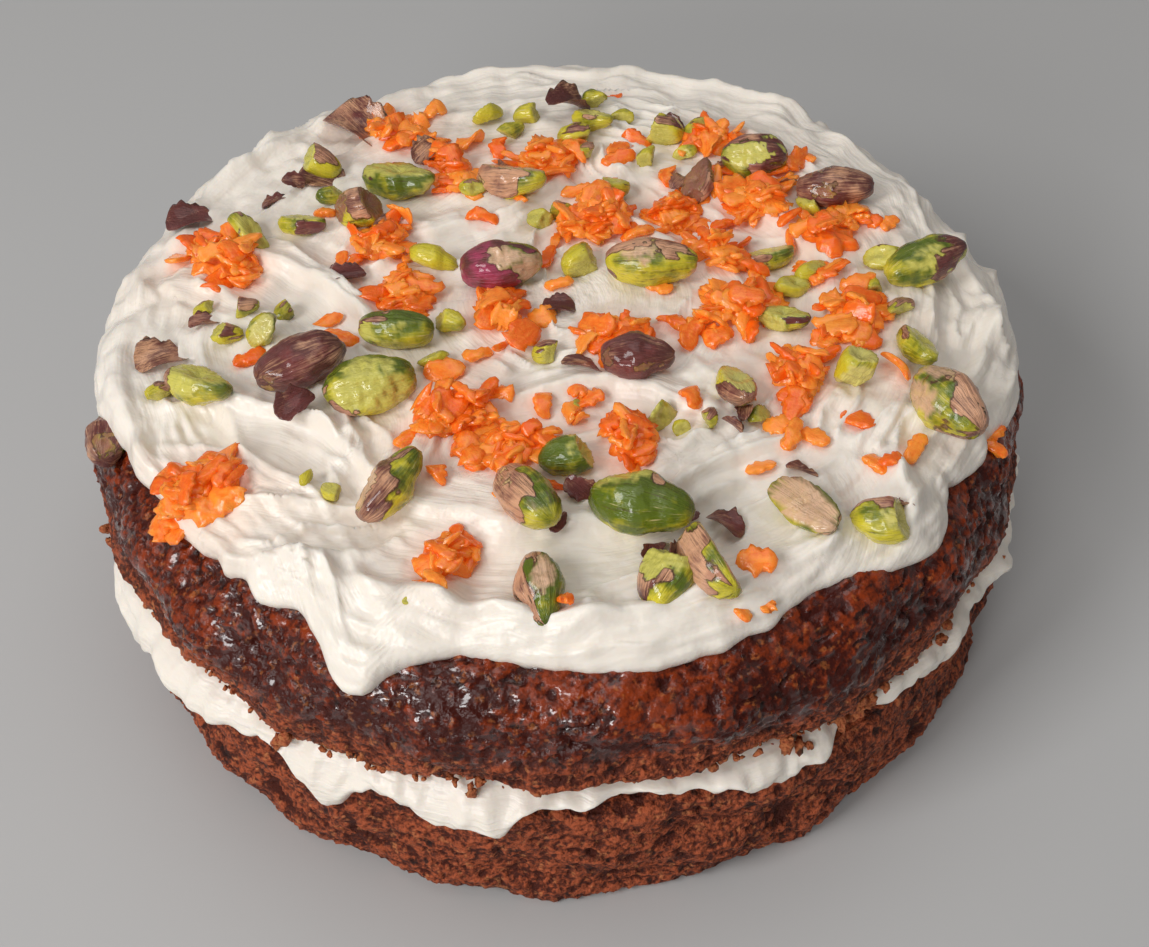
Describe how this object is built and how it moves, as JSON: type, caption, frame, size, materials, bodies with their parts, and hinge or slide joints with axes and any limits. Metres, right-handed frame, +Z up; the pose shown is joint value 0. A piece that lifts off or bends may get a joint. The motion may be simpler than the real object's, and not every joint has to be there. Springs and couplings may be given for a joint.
{
  "type": "carrot cake",
  "caption": "Round two-layer carrot cake with a cream filling squeezed out at the side, a spread cream frosting, and pistachios and grated carrot strewn on top.",
  "frame": {"origin": "middle of the lower sponge's flat base, on the surface the cake stands on", "axes": "+Z up through the middle of the cake, -Y towards the picture's viewer, +X to the viewer's right"},
  "size_m": [0.1833, 0.1833, 0.0736],
  "materials": {
    "sponge": "satin baked crust, red-brown",
    "cream": "satin, off-white",
    "nut_green": "satin, green",
    "nut_pale": "satin, pale yellow-green",
    "nut_pink": "matte, pink-tan skin",
    "nut_dark": "matte, dark purple-brown skin",
    "carrot": "wet, bright orange"
  },
  "bodies": {
    "root": {"sponge_lower": "sponge", "cream_filling": "cream", "sponge_upper": "sponge", "frosting": "cream", "pistachio_whole_01": "nut_green", "pistachio_whole_02": "nut_pink", "pistachio_whole_03": "nut_pink", "pistachio_end_04": "nut_green", "pistachio_half_05": "nut_pink", "pistachio_end_06": "nut_pink", "pistachio_end_07": "nut_green", "pistachio_half_08": "nut_pink", "pistachio_end_09": "nut_pale", "pistachio_whole_10": "nut_pink", "pistachio_half_11": "nut_pale", "pistachio_end_12": "nut_pale", "pistachio_half_13": "nut_green", "pistachio_whole_14": "nut_dark", "pistachio_whole_15": "nut_green", "pistachio_whole_16": "nut_dark", "pistachio_half_17": "nut_green", "pistachio_end_18": "nut_pale", "pistachio_whole_19": "nut_dark", "pistachio_whole_20": "nut_green", "pistachio_whole_21": "nut_pink", "pistachio_half_22": "nut_pink", "pistachio_half_23": "nut_pale", "pistachio_end_24": "nut_dark", "pistachio_half_25": "nut_green", "pistachio_whole_26": "nut_pink", "pistachio_half_27": "nut_dark", "pistachio_whole_28": "nut_green", "pistachio_whole_29": "nut_dark", "pistachio_half_30": "nut_pale", "pistachio_half_31": "nut_green", "pistachio_whole_32": "nut_green", "pistachio_half_33": "nut_pale", "carrot_heap_01": "carrot", "carrot_heap_02": "carrot", "carrot_heap_03": "carrot", "carrot_heap_04": "carrot", "carrot_heap_05": "carrot", "carrot_heap_06": "carrot", "carrot_heap_07": "carrot", "carrot_heap_08": "carrot", "carrot_heap_09": "carrot", "carrot_heap_10": "carrot", "carrot_heap_11": "carrot", "carrot_heap_12": "carrot", "carrot_heap_13": "carrot", "carrot_heap_14": "carrot", "carrot_heap_15": "carrot", "carrot_heap_16": "carrot", "carrot_heap_17": "carrot", "carrot_heap_18": "carrot", "carrot_heap_19": "carrot", "carrot_heap_20": "carrot", "carrot_heap_21": "carrot", "carrot_heap_22": "carrot"}
  },
  "joints": []
}
